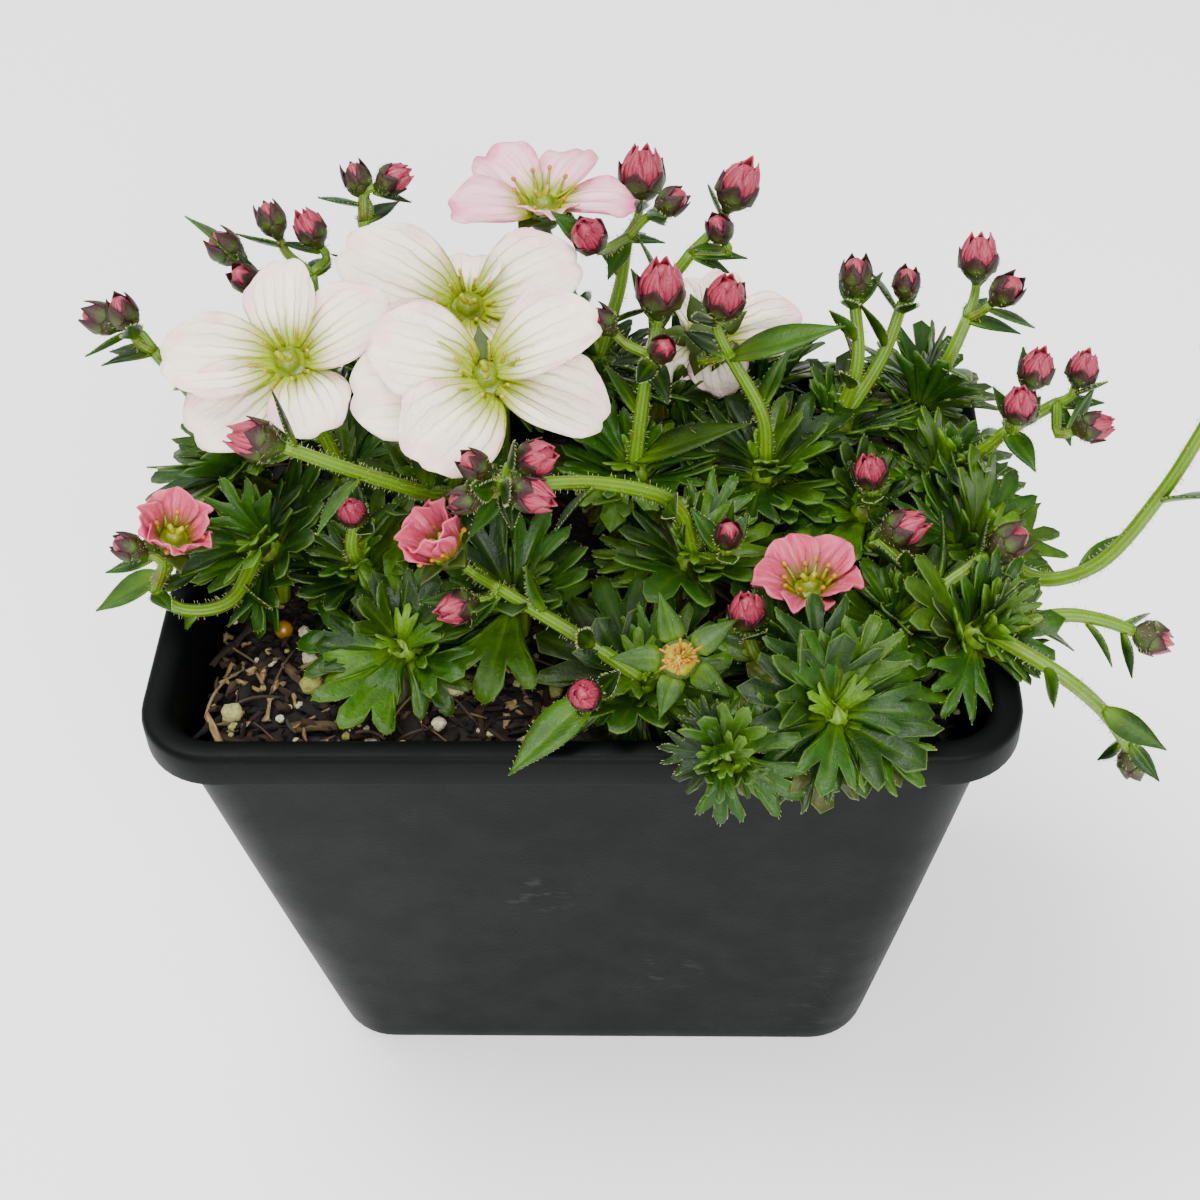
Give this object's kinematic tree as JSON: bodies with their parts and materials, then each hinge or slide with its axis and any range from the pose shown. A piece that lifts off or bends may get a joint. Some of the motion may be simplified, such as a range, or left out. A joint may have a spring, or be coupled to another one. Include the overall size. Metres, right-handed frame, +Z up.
{
  "type": "potted alpino white saxifrage",
  "caption": "Mossy saxifrage with white and blush blooms, pink buds and lobed leaf rosettes, growing in dark soil in a black oblong nursery pot with a rolled rim.",
  "frame": {"origin": "middle of the pot's underside, on the surface that it stands on", "axes": "+Z up, +X to the right along the pot's long side, -Y towards the viewer"},
  "size_m": [0.134, 0.0858, 0.1118],
  "materials": {
    "pot_plastic": "thin moulded charcoal-black plastic with a soft sheen, fine scuffs and dust",
    "soil_mix": "damp near-black peat and bark mix with tan chips and pale specks",
    "foliage": "soft matte mid-green leaves and hairy yellow-green stems",
    "petal_white": "matte warm white petals, yellow-green at the throat with faint veins",
    "petal_blush": "matte pale pink petals, whiter towards the throat",
    "petal_pink": "matte rose-pink furled petals with darker veins"
  },
  "bodies": {
    "root": {"pot": "pot_plastic", "soil": "soil_mix", "shoot_back_left": "foliage", "bud_back_left_1": "petal_pink", "shoot_back_left_inner": "foliage", "bud_back_left_inner_1": "petal_pink", "shoot_back_middle_left": "foliage", "corolla_back_middle_left_1": "petal_white", "shoot_back_middle": "foliage", "corolla_back_middle_1": "petal_blush", "bud_back_middle_2": "petal_pink", "bud_back_middle_3": "petal_pink", "shoot_back_middle_right": "foliage", "bud_back_middle_right_1": "petal_pink", "shoot_back_rim": "foliage", "shoot_back_right": "foliage", "shoot_back_right_corner": "foliage", "bud_back_right_corner_1": "petal_pink", "shoot_left_rim": "foliage", "shoot_left_bloom": "foliage", "corolla_left_bloom_1": "petal_white", "shoot_middle_left": "foliage", "corolla_middle_left_1": "petal_white", "bud_middle_left_2": "petal_pink", "shoot_middle": "foliage", "bud_middle_1": "petal_pink", "shoot_middle_right": "foliage", "corolla_middle_right_1": "petal_white", "bud_middle_right_2": "petal_pink", "shoot_right_inner": "foliage", "bud_right_inner_1": "petal_pink", "shoot_right_rim": "foliage", "bud_right_rim_1": "petal_pink", "bud_right_rim_2": "petal_pink", "bud_right_rim_3": "petal_pink", "bud_right_rim_4": "petal_pink", "shoot_right_outer": "foliage", "shoot_right_trailing": "foliage", "bud_right_trailing_1": "petal_pink", "shoot_left_front": "foliage", "corolla_left_front_1": "petal_blush", "shoot_left_inner": "foliage", "bud_left_inner_1": "petal_pink", "shoot_soil_rosette": "foliage", "shoot_front_inner": "foliage", "shoot_middle_arching": "foliage", "bud_middle_arching_1": "petal_pink", "bud_middle_arching_2": "petal_pink", "shoot_front_spent": "foliage", "corolla_front_spent_1": "petal_blush", "bud_front_spent_2": "petal_pink", "bud_front_spent_3": "petal_pink", "shoot_front_cup": "foliage", "corolla_front_cup_1": "petal_pink", "bud_front_cup_2": "petal_pink", "shoot_front_rim": "foliage", "shoot_front_right_rim": "foliage", "shoot_front_right": "foliage", "bud_front_right_1": "petal_pink"}
  },
  "joints": []
}
